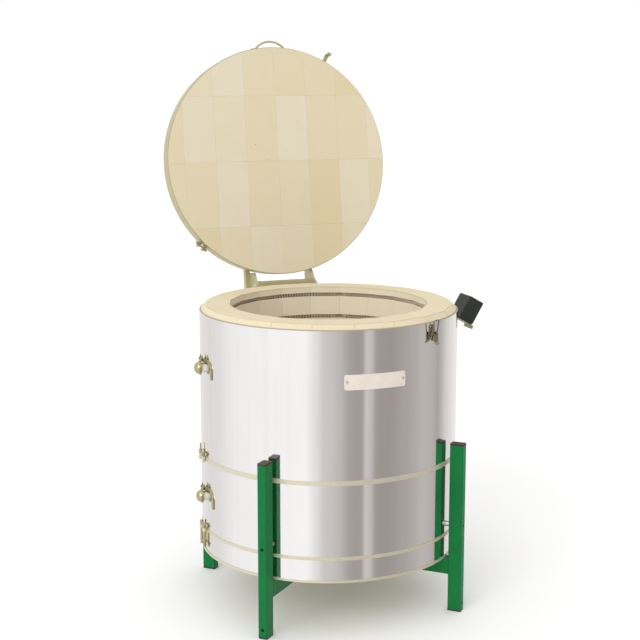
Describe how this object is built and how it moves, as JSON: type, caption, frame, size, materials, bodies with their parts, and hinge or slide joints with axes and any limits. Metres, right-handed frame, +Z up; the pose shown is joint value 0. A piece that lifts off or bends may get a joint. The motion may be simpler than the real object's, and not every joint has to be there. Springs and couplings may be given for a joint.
{
  "type": "top-loading kiln",
  "caption": "Round top-loading electric kiln with a grooved brick chamber in a steel jacket on a legged stand, a hinged brick lid, draw latch, peephole covers and a control unit.",
  "frame": {"origin": "on the floor under the chamber's upright axis", "axes": "+Z up, -Y towards the front where the lid handle is when closed, +X to the control unit's side"},
  "size_m": [0.9942, 1.0902, 1.8271],
  "materials": {
    "green_paint": "semi-gloss green enamel",
    "brown_plastic": "matt moulded",
    "black_plastic": "fine satin",
    "zinc_steel": "bright zinc plated",
    "polished_steel": "mirror polished stainless sheet",
    "blanket": "soft fibre blanket",
    "firebrick": "porous insulating firebrick, matt",
    "olive_steel": "satin, pale yellow zinc plated",
    "element_wire": "oxidised resistance wire",
    "ceramic": "unglazed ceramic",
    "control_grey": "satin panel",
    "keypad_grey": "membrane",
    "display_black": "dark window"
  },
  "bodies": {
    "kiln": {"leg_front_left": "green_paint", "leg_front_right": "green_paint", "leg_rear_left": "green_paint", "leg_rear_right": "green_paint", "cross_beam_long": "green_paint", "cross_beam_halves": "green_paint", "leg_top_plugs": "brown_plastic", "leg_foot_plugs": "black_plastic", "cable_gland": "black_plastic", "control_housing": "black_plastic", "leg_standoffs": "zinc_steel", "leg_screws": "zinc_steel", "element_terminals": "zinc_steel", "hinge_pins": "zinc_steel", "hinge_bolts": "zinc_steel", "latch_pin": "zinc_steel", "peephole_pins": "zinc_steel", "base_plate": "zinc_steel", "jacket": "polished_steel", "terminal_cover": "polished_steel", "floor_insulation": "blanket", "wall_insulation": "blanket", "floor_bricks": "firebrick", "wall_course_lower": "firebrick", "wall_course_middle": "firebrick", "wall_course_upper": "firebrick", "upper_band": "olive_steel", "upper_band_clamp": "olive_steel", "lower_band": "olive_steel", "lower_band_clamp": "olive_steel", "hinge_bracket": "olive_steel", "hinge_crossbar": "olive_steel", "lid_stop": "olive_steel", "latch_base": "olive_steel", "control_bracket": "olive_steel", "peephole_bases": "olive_steel", "heating_element_top": "element_wire", "heating_elements_lower": "element_wire", "element_bushings": "ceramic", "thermocouple": "ceramic", "peephole_tubes": "ceramic", "control_face": "control_grey", "control_keypad": "keypad_grey", "control_display": "display_black"},
    "lid": {"lid_bricks": "firebrick", "lid_band": "olive_steel", "lid_band_clamp": "olive_steel", "lid_arm_left": "olive_steel", "lid_arm_right": "olive_steel", "lid_handle": "olive_steel", "lid_catch": "olive_steel", "lid_bolts": "zinc_steel"},
    "latch_lever": {"latch_lever": "olive_steel"},
    "latch_bail": {"latch_bail": "zinc_steel"},
    "peephole_flap_upper": {"peephole_flap_upper": "olive_steel"},
    "peephole_flap_lower": {"peephole_flap_lower": "olive_steel"}
  },
  "joints": [
    {"name": "lid_hinge", "type": "hinge", "parent": "kiln", "child": "lid", "pos_m": [0, 0.44014, 0.974], "axis": [1, 0, 0], "range_deg": [0, 99]},
    {"name": "latch_lever_turn", "type": "hinge", "parent": "kiln", "child": "latch_lever", "pos_m": [0.20853, -0.37621, 0.93], "axis": [-0.8746, -0.4848, 0], "range_deg": [0, 120]},
    {"name": "latch_bail_swing", "type": "hinge", "parent": "latch_lever", "child": "latch_bail", "pos_m": [0.20756, -0.37446, 0.914], "axis": [-0.8746, -0.4848, 0], "range_deg": [-120, 0]},
    {"name": "peephole_flap_upper_swing", "type": "hinge", "parent": "kiln", "child": "peephole_flap_upper", "pos_m": [-0.43014, 0, 0.822], "axis": [0, 1, 0], "range_deg": [0, 105]},
    {"name": "peephole_flap_lower_swing", "type": "hinge", "parent": "kiln", "child": "peephole_flap_lower", "pos_m": [-0.43014, 0, 0.398], "axis": [0, 1, 0], "range_deg": [0, 105]}
  ],
  "couplings": [
    {"joint": "latch_bail_swing", "follows": "latch_lever_turn", "ratio": -1}
  ]
}
